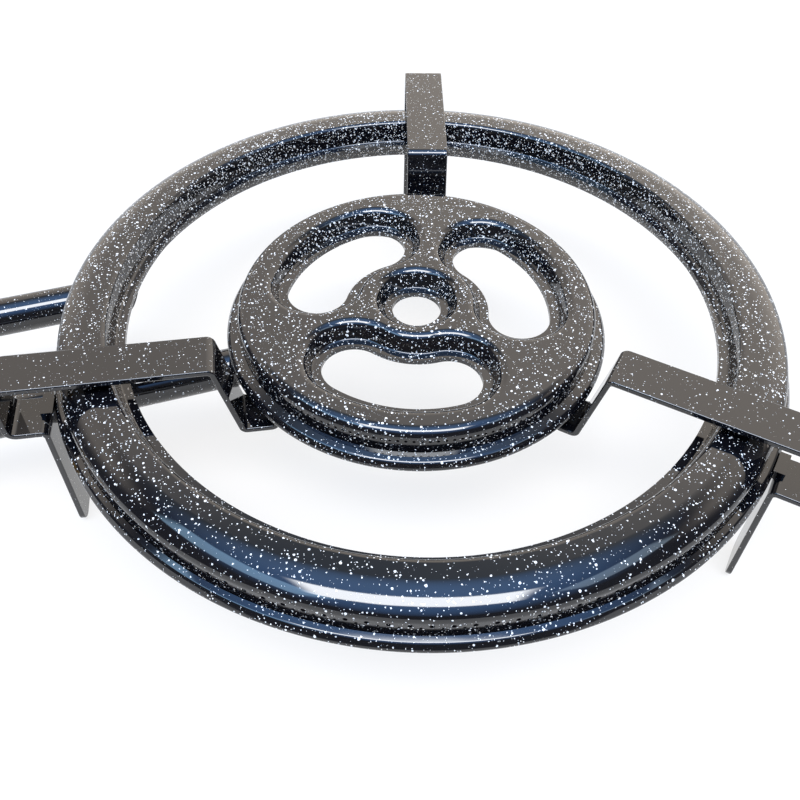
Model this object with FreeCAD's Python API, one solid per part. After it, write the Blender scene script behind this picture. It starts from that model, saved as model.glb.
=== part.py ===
"""Two-ring gas burner: an outer flame ring and an inner flame disc of pressed, enamelled steel,
tied together by three bent strip arms that are pan supports and legs in one, and fed by two
mixing tubes with a tap each on a common gas pipe.

The origin is on the ground on the ring's axis, +Z is up and the gas train runs out along -X.
"""
import FreeCAD, Part
import math
import os

V = FreeCAD.Vector

# Driving dimensions in millimetres and degrees

# Stance
pan_height = 77.5

# Pressed sheet of the ring and the disc
sheet = 1.5
lip_width = 5.0
lip_bend = 1.5
rim_bead_r = 3.0
wall_gap = 0.2
floor_bend = 3.0
inner_wall_lean = 3.0

# Outer flame ring
ring_rim_r = 200.3
ring_rim_width = 5.3
ring_wall_r = ring_rim_r - ring_rim_width
ring_width = 39.3
ring_lip_r = ring_rim_r - ring_width
ring_height = 25.5
ring_seam_rise = 11.5
ring_edge_bend = 3.0
ring_crown_r = 22.0
ring_crown_fall = 40.3
ring_shoulder_r = 5.0

# Inner flame disc
disc_x = -2.8
disc_y = 1.0
disc_rim_r = 105.5
disc_rim_width = 7.5
disc_wall_r = disc_rim_r - disc_rim_width
disc_lip_r = 13.5
disc_height = 21.0
disc_seam_rise = 10.0
disc_crown_r = 5.5
funnel_lean = 5.0
funnel_bend = 5.0

# Kidney openings of the disc
kidney_count = 3
kidney_first_angle = 2.5
kidney_path_r = 57.0
kidney_half_width = 17.0
kidney_half_angle = 26.5
kidney_lip = 5.0
kidney_wall_lean = 4.0
kidney_bend = 5.0
kidney_flange = 12.5

# Flame ports
ring_port_count = 136
ring_port_r = 1.1
ring_pilot_port_r = 0.7
ring_port_rise = 15.2
ring_pilot_port_rise = 12.8
disc_port_count = 156
disc_port_r = 0.75
disc_port_rise = 14.9

# Arms, each a bent flat strip: name, place round the axis, turn away from radial, how far inside the
# bend place the riser's foot and top are
strip_width = 25.0
strip_thickness = 3.0
support_clearance = 6.0
support_height = pan_height + ring_height + support_clearance + strip_thickness
arm_bend_place_r = 120.0
arms = (("left_arm", 191.0, -20.5, 10.5, 0.0), ("right_arm", -52.0, 5.5, 17.0, 7.0),
        ("back_arm", 69.5, 3.0, 11.0, 0.0))
foot_drop = 11.0
step_start = 25.0
step_length = 4.0
inner_tab_end = 46.0
outer_tab_length = 22.0
outer_tab_rise = 2.5
strip_bend = 4.5
loop_bend = 6.5
tight_bend = 1.5
leg_gap = 0.2
leg_corner_r = 8.0
weld_length = 14.0
weld_throat = 2.5

# Fixings of the arms under the disc
stud_r = 3.0
stud_setback = 38.5
stud_tail = 2.0
hole_clearance = 0.3
washer_r = 6.25
washer_thickness = 1.6
nut_flats = 10.0
nut_height = 5.0

# Mixing tubes
tube_r = 11.0
tube_wall = 1.5
tube_drop = 19.5
ring_tube_y = 99.8
disc_tube_y = 18.0
tube_end_x = -290.0
ring_neck_inset = 9.5
ring_neck_place_r = ring_wall_r - ring_neck_inset
disc_neck_inset = 11.0
disc_neck_place_r = disc_wall_r - disc_neck_inset
neck_r = 7.0
neck_wall = 1.5
neck_stand = 2.0
tube_cap = 1.5
tube_past_neck = 1.0
tube_end_slant = 27.0
air_slot_length = 18.0
air_slot_width = 7.0
air_slot_setback = 14.0
fit_gap = 0.05

# Tube bush and injector
bush_flange = 4.0
bush_depth = 10.0
nose_r = 6.0
nose_past_bush = 4.0
injector_flats = 10.0
injector_length = 8.0
injector_tip = 6.0
injector_tip_r = 2.2
jet_r = 0.6

# Taps
tap_r = 15.0
tap_length = 40.0
tap_front_wall = 8.0
plug_small_r = 6.0
plug_large_r = 8.0
plug_length = 20.0
gas_way_r = 3.0
spring_room_r = 9.0
spring_wire = 0.8
spindle_r = 4.0
spindle_flat = 3.0
spindle_past_bonnet = 20.0
running_gap = 0.05
bonnet_plate = 6.0
bonnet_spigot = 4.0
bonnet_screw_place_r = 12.0
bonnet_screw_r = 1.5
bonnet_screw_head_r = 2.6
bonnet_screw_head = 2.2
bonnet_screw_depth = 9.0

# Knobs
knob_r = 18.0
knob_skirt = 5.0
knob_boss_r = 15.5
knob_length = 22.0
knob_grip_width = 9.0
knob_grip_height = 9.0
knob_edge = 1.5
knob_gap = 2.0

# Gas pipe
pipe_r = 9.0
pipe_wall = 2.0
stem_x_setback = 18.0
stem_r = 7.0
stem_depth = 8.0
collar_r = 10.0
collar_drop = 16.0
seal_thickness = 2.0
boss_stand = 4.0
pipe_past_ring_tap = 25.0
pipe_past_disc_tap = 30.0
thread_depth = 9.0
thread_r = 6.0
hex_flats = 19.0
hex_length = 9.0
tail_r = 4.5
tail_length = 26.0
tail_grip_length = 14.0
tail_groove_r = 4.0
tail_groove_length = 3.0
tail_bore_r = 2.5

# Places worked out from the driving dimensions
Z_AXIS = V(0, 0, 1)
disc_centre = V(disc_x, disc_y, 0)
floor_top = pan_height + sheet
tube_z = pan_height - tube_drop
tap_x = tube_end_x - bush_flange
stem_x = tap_x - stem_x_setback
pipe_z = tube_z - collar_drop - seal_thickness - boss_stand - pipe_r
plug_face_x = tap_x - tap_front_wall - plug_length
bonnet_x = tap_x - tap_length
knob_x = bonnet_x - bonnet_plate - knob_gap
ring_neck_x = -math.sqrt(ring_neck_place_r ** 2 - ring_tube_y ** 2)
disc_neck_x = disc_x - math.sqrt(disc_neck_place_r ** 2 - (disc_tube_y - disc_y) ** 2)
burners = (("ring", ring_tube_y, ring_neck_x), ("disc", disc_tube_y, disc_neck_x))


# Outlines of bent sheet

def unit(a, b):
    length = math.hypot(b[0] - a[0], b[1] - a[1])
    return ((b[0] - a[0]) / length, (b[1] - a[1]) / length)


def turn_at(points, i):
    """Signed turn at a point of a run of lines, in radians, positive to the right."""
    ax, ay = unit(points[i - 1], points[i])
    bx, by = unit(points[i], points[i + 1])
    return math.atan2(ay * bx - ax * by, ax * bx + ay * by)


def offset_points(points, distance):
    """The same run of lines moved to the right by a distance, with square ends."""
    moved = []
    last = len(points) - 1
    for i, (x, y) in enumerate(points):
        if i == 0:
            dx, dy = unit(points[0], points[1])
            reach = distance
        elif i == last:
            dx, dy = unit(points[last - 1], points[last])
            reach = distance
        else:
            ax, ay = unit(points[i - 1], points[i])
            bx, by = unit(points[i], points[i + 1])
            half = turn_at(points, i) / 2
            size = math.hypot(ax + bx, ay + by)
            dx, dy = (ax + bx) / size, (ay + by) / size
            reach = distance / math.cos(half)
        moved.append((x + dy * reach, y - dx * reach))
    return moved


def run_edges(points, radii):
    """Lines joined by tangent arcs in the XZ plane; radii belong to the inner points."""
    edges = []
    start = points[0]
    for i in range(1, len(points) - 1):
        turn = turn_at(points, i)
        ax, ay = unit(points[i - 1], points[i])
        bx, by = unit(points[i], points[i + 1])
        reach = radii[i - 1] * math.tan(abs(turn) / 2)
        x, y = points[i]
        first = (x - ax * reach, y - ay * reach)
        second = (x + bx * reach, y + by * reach)
        side = math.copysign(1, turn)
        centre = (first[0] + side * ay * radii[i - 1], first[1] - side * ax * radii[i - 1])
        out_x, out_y = unit(centre, points[i])
        middle = (centre[0] + out_x * radii[i - 1], centre[1] + out_y * radii[i - 1])
        edges += line(start, first)
        corners = [V(p[0], 0, p[1]) for p in (first, middle, second)]
        edges.append(Part.Arc(*corners).toShape())
        start = second
    return edges + line(start, points[-1])


def line(a, b):
    start, end = V(a[0], 0, a[1]), V(b[0], 0, b[1])
    if start.distanceToPoint(end) < 1e-6:
        return []
    return [Part.LineSegment(start, end).toShape()]


def strip_face(points, radii, thickness):
    """Section of a bent strip: the given run of lines is one side, the other lies to its right."""
    other = offset_points(points, thickness)
    other_radii = []
    for i, radius in enumerate(radii):
        side = math.copysign(1, turn_at(points, i + 1))
        other_radii.append(radius - side * thickness)
    edges = run_edges(points, radii) + run_edges(other, other_radii)
    edges += line(points[0], other[0]) + line(points[-1], other[-1])
    return Part.Face(Part.Wire(Part.__sortEdges__(edges)))


def turned(face, centre=V(0, 0, 0), start=0.0, sweep=360.0):
    """Solid of revolution of an XZ section about a vertical axis at a centre."""
    solid = face.revolve(V(0, 0, 0), Z_AXIS, sweep)
    solid.rotate(V(0, 0, 0), Z_AXIS, start)
    solid.translate(centre)
    return solid


def along_x(radius, x_from, x_to, y=0.0, z=0.0):
    """Cylinder that lies along X between two places."""
    start = min(x_from, x_to)
    return Part.makeCylinder(radius, abs(x_to - x_from), V(start, y, z), V(1, 0, 0))


def upright(radius, z_from, z_to, x=0.0, y=0.0):
    return Part.makeCylinder(radius, z_to - z_from, V(x, y, z_from), Z_AXIS)


def hexagon(flats, height, base, axis):
    """Hexagonal bar from a base point along an axis."""
    corner = flats / math.sqrt(3)
    points = [V(corner * math.cos(math.radians(60 * i)), corner * math.sin(math.radians(60 * i)), 0)
              for i in range(7)]
    bar = Part.Face(Part.makePolygon(points)).extrude(V(0, 0, height))
    bar.Placement = FreeCAD.Placement(base, FreeCAD.Rotation(Z_AXIS, axis))
    return bar


def polar(radius, angle, centre=V(0, 0, 0)):
    return centre + V(radius * math.cos(math.radians(angle)), radius * math.sin(math.radians(angle)), 0)


# Ring and disc pressings

def port_pins(count, radius, rise, wall_r, centre, first_angle):
    """Pins that cut one row of flame ports through a round wall."""
    pins = []
    for i in range(count):
        angle = first_angle + 360.0 * i / count
        way = polar(1, angle)
        foot = polar(wall_r - 2 * sheet, angle, centre) + V(0, 0, pan_height + rise)
        pins.append(Part.makeCylinder(radius, 3 * sheet, foot, way))
    return pins


def make_ring_top():
    top = pan_height + ring_height
    lip = pan_height + ring_seam_rise + sheet
    fall = math.radians(ring_crown_fall)
    shoulder_reach = ring_shoulder_r * math.tan((math.pi / 2 - fall) / 2)
    crown_reach = ring_crown_r * math.tan(fall / 2)
    slope = crown_reach + shoulder_reach
    lip_corner = ring_lip_r + lip_width
    points = [(ring_lip_r, lip), (lip_corner, lip), (lip_corner + inner_wall_lean, top),
              (ring_wall_r - slope * math.cos(fall), top),
              (ring_wall_r, top - slope * math.sin(fall)), (ring_wall_r, floor_top)]
    radii = [lip_bend, ring_edge_bend, ring_crown_r, ring_shoulder_r]
    shell = turned(strip_face(points, radii, sheet))
    half_pitch = 180.0 / ring_port_count
    origin = V(0, 0, 0)
    pins = port_pins(ring_port_count, ring_port_r, ring_port_rise, ring_wall_r, origin, 0)
    pins += port_pins(ring_port_count, ring_pilot_port_r, ring_pilot_port_rise, ring_wall_r, origin,
                      half_pitch)
    return shell.cut(Part.makeCompound(pins))


def pan_face(lip_r, wall_r, rim_r, seam_rise, wall_lean):
    """Section of a lower pressing: lip, inner wall, floor and the curled rim outside."""
    lip = pan_height + seam_rise - sheet
    curl_top = pan_height + 2 * rim_bead_r
    corner = lip_r + lip_width - sheet / 2
    points = [(wall_r + wall_gap, curl_top), (rim_r, curl_top), (rim_r, pan_height),
              (corner + wall_lean, pan_height), (corner, lip), (lip_r, lip)]
    radii = [rim_bead_r, rim_bead_r, floor_bend, lip_bend]
    return strip_face(points, radii, sheet)


def make_ring_pan():
    pan = turned(pan_face(ring_lip_r, ring_wall_r, ring_rim_r, ring_seam_rise, inner_wall_lean))
    hole = upright(neck_r + fit_gap, pan_height - 1, floor_top + 1, ring_neck_x, ring_tube_y)
    return pan.cut(hole)


def kidney_angles():
    return [kidney_first_angle + 360.0 * i / kidney_count for i in range(kidney_count)]


def kidney_prism(spread, angle):
    """Upright prism over a kidney outline grown by a spread, taller than the disc."""
    half = kidney_half_width + spread
    low = pan_height - disc_height
    height = 3 * disc_height
    sweep = 2 * kidney_half_angle
    outer = Part.makeCylinder(kidney_path_r + half, height, V(0, 0, low), Z_AXIS, sweep)
    inner = Part.makeCylinder(kidney_path_r - half, height, V(0, 0, low), Z_AXIS, sweep)
    prism = outer.cut(inner)
    for end in (0, sweep):
        foot = polar(kidney_path_r, end)
        prism = prism.fuse(upright(half, low, low + height, foot.x, foot.y))
    prism.rotate(V(0, 0, 0), Z_AXIS, angle - kidney_half_angle)
    prism.translate(disc_centre)
    return prism


def kidney_flange_solids(points, radii, thickness, angle):
    """Drawn wall round one kidney opening: four turned pieces that share their end sections."""
    half = kidney_half_width
    start = angle - kidney_half_angle
    sweep = 2 * kidney_half_angle
    outer = [(kidney_path_r + half + s, z) for s, z in points]
    inner = [(kidney_path_r - half - s, z) for s, z in points]
    ends = [(half + s, z) for s, z in points]
    first = polar(kidney_path_r, start, disc_centre)
    last = polar(kidney_path_r, start + sweep, disc_centre)
    return [turned(strip_face(outer, radii, thickness), disc_centre, start, sweep),
            turned(strip_face(inner, radii, -thickness), disc_centre, start, sweep),
            turned(strip_face(ends, radii, thickness), first, start + 180, 180),
            turned(strip_face(ends, radii, thickness), last, start + sweep, 180)]


def with_kidneys(shell, points, radii, thickness):
    for angle in kidney_angles():
        shell = shell.cut(kidney_prism(kidney_flange, angle))
    walls = []
    for angle in kidney_angles():
        walls += kidney_flange_solids(points, radii, thickness, angle)
    return shell.fuse(walls).removeSplitter()


def make_disc_top():
    top = pan_height + disc_height
    lip = pan_height + disc_seam_rise + sheet
    funnel_corner = disc_lip_r + lip_width - sheet / 2
    points = [(disc_lip_r, lip), (funnel_corner, lip), (funnel_corner + funnel_lean, top),
              (disc_wall_r, top), (disc_wall_r, floor_top)]
    shell = turned(strip_face(points, [lip_bend, funnel_bend, disc_crown_r], sheet), disc_centre)
    wall = [(0, lip), (kidney_lip, lip), (kidney_lip + kidney_wall_lean, top), (kidney_flange, top)]
    shell = with_kidneys(shell, wall, [lip_bend, kidney_bend], sheet)
    pins = port_pins(disc_port_count, disc_port_r, disc_port_rise, disc_wall_r, disc_centre, 0)
    return shell.cut(Part.makeCompound(pins))


def make_disc_pan():
    face = pan_face(disc_lip_r, disc_wall_r, disc_rim_r, disc_seam_rise, funnel_lean)
    pan = turned(face, disc_centre)
    lip = pan_height + disc_seam_rise - sheet
    wall = [(0, lip), (kidney_lip, lip), (kidney_lip + kidney_wall_lean, pan_height),
            (kidney_flange, pan_height)]
    pan = with_kidneys(pan, wall, [lip_bend, floor_bend], -sheet)
    hole = upright(neck_r + fit_gap, pan_height - 1, floor_top + 1, disc_neck_x, disc_tube_y)
    return pan.cut(hole)


# Arms

def leg_place(yaw):
    """Distance from an arm's inner bend to its leg, which stands just clear of the ring's rim."""
    side = abs(arm_bend_place_r * math.sin(math.radians(yaw)))
    nearest = max(0.0, side - strip_width / 2)
    face = math.sqrt((ring_rim_r + leg_gap) ** 2 - nearest ** 2)
    return face - arm_bend_place_r * math.cos(math.radians(yaw))


def place_arm(shape, angle, yaw):
    shape.rotate(V(0, 0, 0), Z_AXIS, angle + yaw)
    shape.translate(polar(arm_bend_place_r, angle))
    return shape


def make_arm(angle, yaw, foot_back, top_back):
    """One strip: a tab under the disc, a step that dips under the disc's rim, the riser, the flat
    run over the ring, the loop outside it and the leg."""
    leg = leg_place(yaw)
    foot = pan_height - foot_drop
    end = leg + outer_tab_length
    tab_under = pan_height + outer_tab_rise - strip_thickness
    leg_face = leg + strip_thickness
    points = [(-inner_tab_end, pan_height), (-step_start - step_length, pan_height), (-step_start, foot),
              (-foot_back, foot), (-top_back, support_height), (end, support_height), (end, tab_under),
              (leg_face, tab_under), (leg_face, 0)]
    radii = [strip_bend, tight_bend, tight_bend, strip_bend, loop_bend, loop_bend, tight_bend]
    strip = strip_face(points, radii, strip_thickness).extrude(V(0, strip_width, 0))
    strip.translate(V(0, -strip_width / 2, 0))
    tips = []
    for edge in strip.Edges:
        box = edge.BoundBox
        at_side = abs(abs(box.Center.y) - strip_width / 2) < 1e-3 and box.YLength < 1e-3
        if at_side and box.ZMax < 1e-3:
            tips.append(edge)
    strip = strip.makeFillet(leg_corner_r, tips)
    hole = upright(stud_r + hole_clearance, pan_height - 2 * strip_thickness, pan_height + 1,
                   -stud_setback)
    return place_arm(strip.cut(hole), angle, yaw)


def make_rim_welds(ring_pan, arm_solids):
    """Weld runs that fill the groove between the ring's curled rim and each arm's lower bend."""
    runs = []
    for name, angle, yaw, foot_back, top_back in arms:
        side = arm_bend_place_r * math.sin(math.radians(yaw))
        near = math.copysign(max(0.0, abs(side) - strip_width / 2), side)
        shift = max(-strip_width / 2 + weld_length / 2, min(strip_width / 2 - weld_length / 2,
                                                            side - near))
        leg = leg_place(yaw)
        low = pan_height + outer_tab_rise - strip_thickness
        block = Part.makeBox(2 * strip_thickness, weld_length, weld_throat + strip_thickness,
                             V(leg - strip_thickness / 2, shift - weld_length / 2, low))
        place_arm(block, angle, yaw)
        filled = block.cut(ring_pan).cut(arm_solids[name])
        runs.append(max(filled.Solids, key=lambda solid: solid.Volume))
    return Part.makeCompound(runs)


def stud_places():
    places = []
    for name, angle, yaw, foot_back, top_back in arms:
        inward = polar(-stud_setback, angle + yaw)
        places.append(polar(arm_bend_place_r, angle) + inward)
    return places


def make_disc_studs():
    low = pan_height - strip_thickness - washer_thickness - nut_height - stud_tail
    return Part.makeCompound([upright(stud_r, low, pan_height, p.x, p.y) for p in stud_places()])


def make_disc_washers():
    top = pan_height - strip_thickness
    rings = []
    for p in stud_places():
        ring = upright(washer_r, top - washer_thickness, top, p.x, p.y)
        hole = upright(stud_r + hole_clearance, top - washer_thickness, top, p.x, p.y)
        rings.append(ring.cut(hole))
    return Part.makeCompound(rings)


def make_disc_nuts():
    base = pan_height - strip_thickness - washer_thickness - nut_height
    nuts = []
    for p in stud_places():
        nut = hexagon(nut_flats, nut_height, V(p.x, p.y, base), Z_AXIS)
        nuts.append(nut.cut(upright(stud_r + fit_gap, base, base + nut_height, p.x, p.y)))
    return Part.makeCompound(nuts)


# Mixing tubes with their bushes and injectors

def slanted_end(x, y):
    """Block past a slanted plane across the tube, which meets the tube's top at a place along X."""
    size = 12 * tube_r
    block = Part.makeBox(size, size, size, V(0, -size / 2, -size / 2))
    block.rotate(V(0, 0, 0), V(0, 1, 0), tube_end_slant)
    block.translate(V(x, y, tube_z + tube_r))
    return block


def make_tube(y, neck_x):
    closed_x = neck_x + neck_r + tube_past_neck + tube_cap
    neck_top = floor_top + neck_stand
    tube = along_x(tube_r, tube_end_x, closed_x, y, tube_z)
    tube = tube.fuse(upright(neck_r, tube_z, neck_top, neck_x, y)).cut(slanted_end(closed_x, y))
    bore = along_x(tube_r - tube_wall, tube_end_x, closed_x, y, tube_z)
    bore = bore.fuse(upright(neck_r - neck_wall, tube_z, neck_top, neck_x, y))
    tube = tube.cut(bore.cut(slanted_end(closed_x - tube_cap, y)))
    slot_x = tube_end_x + air_slot_setback
    across = Part.makeBox(air_slot_length, 4 * tube_r, air_slot_width,
                          V(slot_x, y - 2 * tube_r, tube_z - air_slot_width / 2))
    upward = Part.makeBox(air_slot_length, air_slot_width, 4 * tube_r,
                          V(slot_x, y - air_slot_width / 2, tube_z - 2 * tube_r))
    return tube.cut(across.fuse(upward))


def make_bush(y):
    bush = along_x(tube_r, tap_x, tube_end_x, y, tube_z)
    bush = bush.fuse(along_x(tube_r - tube_wall - fit_gap, tube_end_x, tube_end_x + bush_depth, y, tube_z))
    return bush.cut(along_x(nose_r + fit_gap, tap_x, tube_end_x + bush_depth, y, tube_z))


def make_injector(y):
    seat_x = tube_end_x + bush_depth + nose_past_bush
    body = hexagon(injector_flats, injector_length, V(seat_x, y, tube_z), V(1, 0, 0))
    tip = Part.makeCone(injector_flats / 2, injector_tip_r, injector_tip,
                        V(seat_x + injector_length, y, tube_z), V(1, 0, 0))
    jet = along_x(jet_r, seat_x, seat_x + injector_length + injector_tip, y, tube_z)
    throat = along_x(gas_way_r, seat_x, seat_x + injector_length - 2 * jet_r, y, tube_z)
    return body.fuse(tip).cut(jet).cut(throat)


# Taps

def make_tap_body(y):
    nose_x = tube_end_x + bush_depth + nose_past_bush
    body = along_x(tap_r, bonnet_x, tap_x, y, tube_z)
    body = body.fuse(along_x(nose_r, tap_x, nose_x, y, tube_z))
    stem_low = tube_z - collar_drop - seal_thickness - stem_depth
    body = body.fuse(upright(collar_r, tube_z - collar_drop, tube_z, stem_x, y))
    body = body.fuse(upright(stem_r, stem_low, tube_z, stem_x, y))
    chamber = Part.makeCone(plug_small_r + running_gap, plug_large_r + running_gap, plug_length,
                            V(tap_x - tap_front_wall, y, tube_z), V(-1, 0, 0))
    room = along_x(spring_room_r, bonnet_x, plug_face_x, y, tube_z)
    outlet = along_x(gas_way_r, tap_x - tap_front_wall - 1, nose_x, y, tube_z)
    inlet = upright(gas_way_r, stem_low, tube_z, stem_x, y)
    body = body.cut(chamber.fuse(room)).cut(outlet).cut(inlet)
    for side in (-1, 1):
        body = body.cut(along_x(bonnet_screw_r + fit_gap, bonnet_x, bonnet_x + bonnet_screw_depth, y,
                                tube_z + side * bonnet_screw_place_r))
    return body


def spindle_shape(y, growth, length):
    """Spindle with a flat on top past the bonnet, from the plug's large end."""
    end_x = bonnet_x - bonnet_plate - length
    round_bar = along_x(spindle_r + growth, plug_face_x, end_x, y, tube_z)
    flat = Part.makeBox(length - knob_gap, 4 * spindle_r, spindle_r,
                        V(end_x, y - 2 * spindle_r, tube_z + spindle_flat + growth))
    return round_bar.cut(flat)


def make_plug(y):
    front_x = tap_x - tap_front_wall - running_gap
    plug = Part.makeCone(plug_small_r, plug_large_r, plug_length - running_gap,
                         V(front_x, y, tube_z), V(-1, 0, 0))
    plug = plug.fuse(spindle_shape(y, 0, spindle_past_bonnet))
    way = along_x(gas_way_r, front_x, stem_x, y, tube_z)
    port = Part.makeCylinder(gas_way_r, 2 * plug_large_r, V(stem_x, y, tube_z), V(0, 1, 0))
    return plug.cut(way.fuse(port))


def make_tap_spring(y):
    """Pair of cone washers, edge to edge, that hold the plug in its seat."""
    back_x = bonnet_x + bonnet_spigot
    length = plug_face_x - running_gap - back_x
    inner, outer = spindle_r + 2 * spring_wire, spring_room_r - spring_wire
    points = [(outer, 0), (inner, length / 2), (outer, length)]
    thick = [(r - spring_wire, z) for r, z in reversed(points)]
    corners = [V(r, 0, z) for r, z in points + thick + points[:1]]
    spring = Part.Face(Part.makePolygon(corners)).revolve(V(0, 0, 0), Z_AXIS, 360)
    spring.Placement = FreeCAD.Placement(V(back_x, y, tube_z), FreeCAD.Rotation(Z_AXIS, V(1, 0, 0)))
    return spring


def make_bonnet(y):
    outer_x = bonnet_x - bonnet_plate
    bonnet = along_x(tap_r, outer_x, bonnet_x, y, tube_z)
    bonnet = bonnet.fuse(along_x(spring_room_r - fit_gap, bonnet_x, bonnet_x + bonnet_spigot, y, tube_z))
    bonnet = bonnet.cut(along_x(spindle_r + running_gap, outer_x, bonnet_x + bonnet_spigot, y, tube_z))
    for side in (-1, 1):
        z = tube_z + side * bonnet_screw_place_r
        bonnet = bonnet.cut(along_x(bonnet_screw_r + fit_gap, outer_x, bonnet_x, y, z))
        bonnet = bonnet.cut(along_x(bonnet_screw_head_r + fit_gap, outer_x, outer_x + bonnet_screw_head,
                                    y, z))
    return bonnet


def make_bonnet_screws():
    outer_x = bonnet_x - bonnet_plate
    screws = []
    for name, y, neck_x in burners:
        for side in (-1, 1):
            z = tube_z + side * bonnet_screw_place_r
            head = along_x(bonnet_screw_head_r, outer_x, outer_x + bonnet_screw_head, y, z)
            screws.append(head.fuse(along_x(bonnet_screw_r, outer_x, bonnet_x + bonnet_screw_depth, y, z)))
    return Part.makeCompound(screws)


def make_knob(y):
    end_x = knob_x - knob_length
    skirt = along_x(knob_r, knob_x, knob_x - knob_skirt, y, tube_z)
    boss = along_x(knob_boss_r, knob_x, end_x + knob_grip_height, y, tube_z)
    grip = Part.makeBox(knob_length - knob_skirt, knob_grip_width, 2 * knob_boss_r,
                        V(end_x, y - knob_grip_width / 2, tube_z - knob_boss_r))
    grip = grip.common(along_x(knob_boss_r, knob_x, end_x, y, tube_z))
    grip = grip.makeChamfer(knob_edge, [e for e in grip.Edges if e.BoundBox.XMax < end_x + 1e-3])
    knob = skirt.fuse([boss, grip]).removeSplitter()
    return knob.cut(spindle_shape(y, running_gap, spindle_past_bonnet + running_gap))


# Gas pipe

def make_pipe():
    low_y = disc_tube_y - pipe_past_disc_tap
    high_y = ring_tube_y + pipe_past_ring_tap
    length = high_y - low_y
    along_y = V(0, 1, 0)
    pipe = Part.makeCylinder(pipe_r, length, V(stem_x, low_y, pipe_z), along_y)
    boss_top = tube_z - collar_drop - seal_thickness
    for name, y, neck_x in burners:
        pipe = pipe.fuse(upright(collar_r, pipe_z, boss_top, stem_x, y))
    pipe = pipe.cut(Part.makeCylinder(pipe_r - pipe_wall, length, V(stem_x, low_y, pipe_z), along_y))
    for name, y, neck_x in burners:
        pipe = pipe.cut(upright(stem_r + fit_gap, pipe_z, boss_top, stem_x, y))
    return pipe


def make_tap_seals():
    top = tube_z - collar_drop
    rings = []
    for name, y, neck_x in burners:
        ring = upright(collar_r, top - seal_thickness, top, stem_x, y)
        rings.append(ring.cut(upright(stem_r + fit_gap, top - seal_thickness, top, stem_x, y)))
    return Part.makeCompound(rings)


def make_end_plug():
    pipe_end = ring_tube_y + pipe_past_ring_tap
    away = V(0, 1, 0)
    plug = hexagon(hex_flats, hex_length, V(stem_x, pipe_end, pipe_z), away)
    return plug.fuse(Part.makeCylinder(pipe_r - pipe_wall - fit_gap, thread_depth,
                                       V(stem_x, pipe_end - thread_depth, pipe_z), away))


def make_hose_nozzle():
    pipe_end = disc_tube_y - pipe_past_disc_tap
    seat = pipe_end - seal_thickness
    away = V(0, -1, 0)
    nozzle = hexagon(hex_flats, hex_length, V(stem_x, seat, pipe_z), away)
    nozzle = nozzle.fuse(Part.makeCylinder(thread_r, thread_depth + seal_thickness,
                                           V(stem_x, seat, pipe_z), V(0, 1, 0)))
    tail_y = seat - hex_length
    nozzle = nozzle.fuse(Part.makeCylinder(tail_r, tail_length, V(stem_x, tail_y, pipe_z), away))
    neck_y = tail_y - (tail_length - tail_grip_length - tail_groove_length)
    ring = Part.makeCylinder(2 * tail_r, tail_groove_length, V(stem_x, neck_y, pipe_z), away)
    core = Part.makeCylinder(tail_groove_r, tail_groove_length, V(stem_x, neck_y, pipe_z), away)
    nozzle = nozzle.cut(ring.cut(core))
    whole = tail_length + hex_length + seal_thickness + thread_depth
    bore = Part.makeCylinder(tail_bore_r, whole, V(stem_x, pipe_end + thread_depth, pipe_z), away)
    return nozzle.cut(bore)


def make_inlet_seal():
    pipe_end = disc_tube_y - pipe_past_disc_tap
    away = V(0, -1, 0)
    ring = Part.makeCylinder(pipe_r, seal_thickness, V(stem_x, pipe_end, pipe_z), away)
    hole = Part.makeCylinder(thread_r + fit_gap, seal_thickness, V(stem_x, pipe_end, pipe_z), away)
    return ring.cut(hole)


def make_inlet_bush():
    """Threaded bush brazed into the pipe's open end, which takes the nozzle's thread."""
    pipe_end = disc_tube_y - pipe_past_disc_tap
    inward = V(0, 1, 0)
    bush = Part.makeCylinder(pipe_r - pipe_wall - fit_gap, thread_depth, V(stem_x, pipe_end, pipe_z), inward)
    hole = Part.makeCylinder(thread_r + fit_gap, thread_depth, V(stem_x, pipe_end, pipe_z), inward)
    return bush.cut(hole)


# All pieces by name

def make_pieces():
    pieces = {"ring_top": make_ring_top(), "ring_pan": make_ring_pan(),
              "disc_top": make_disc_top(), "disc_pan": make_disc_pan()}
    arm_solids = {arm[0]: make_arm(*arm[1:]) for arm in arms}
    pieces.update(arm_solids)
    pieces["rim_welds"] = make_rim_welds(pieces["ring_pan"], arm_solids)
    pieces["disc_studs"] = make_disc_studs()
    pieces["disc_washers"] = make_disc_washers()
    pieces["disc_nuts"] = make_disc_nuts()
    for name, y, neck_x in burners:
        pieces[name + "_mixing_tube"] = make_tube(y, neck_x)
        pieces[name + "_tube_bush"] = make_bush(y)
        pieces[name + "_injector"] = make_injector(y)
        pieces[name + "_tap_body"] = make_tap_body(y)
        pieces[name + "_tap_plug"] = make_plug(y)
        pieces[name + "_tap_spring"] = make_tap_spring(y)
        pieces[name + "_tap_bonnet"] = make_bonnet(y)
        pieces[name + "_knob"] = make_knob(y)
    pieces["bonnet_screws"] = make_bonnet_screws()
    pieces["gas_pipe"] = make_pipe()
    pieces["tap_seals"] = make_tap_seals()
    pieces["pipe_end_plug"] = make_end_plug()
    pieces["inlet_bush"] = make_inlet_bush()
    pieces["inlet_seal"] = make_inlet_seal()
    pieces["hose_nozzle"] = make_hose_nozzle()
    return pieces


def main():
    os.makedirs("parts", exist_ok=True)
    for name, shape in make_pieces().items():
        shape.exportStep("parts/" + name + ".step")
        print(name, "solids", len(shape.Solids), "valid", shape.isValid(), "volume", round(shape.Volume))


main()
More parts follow.
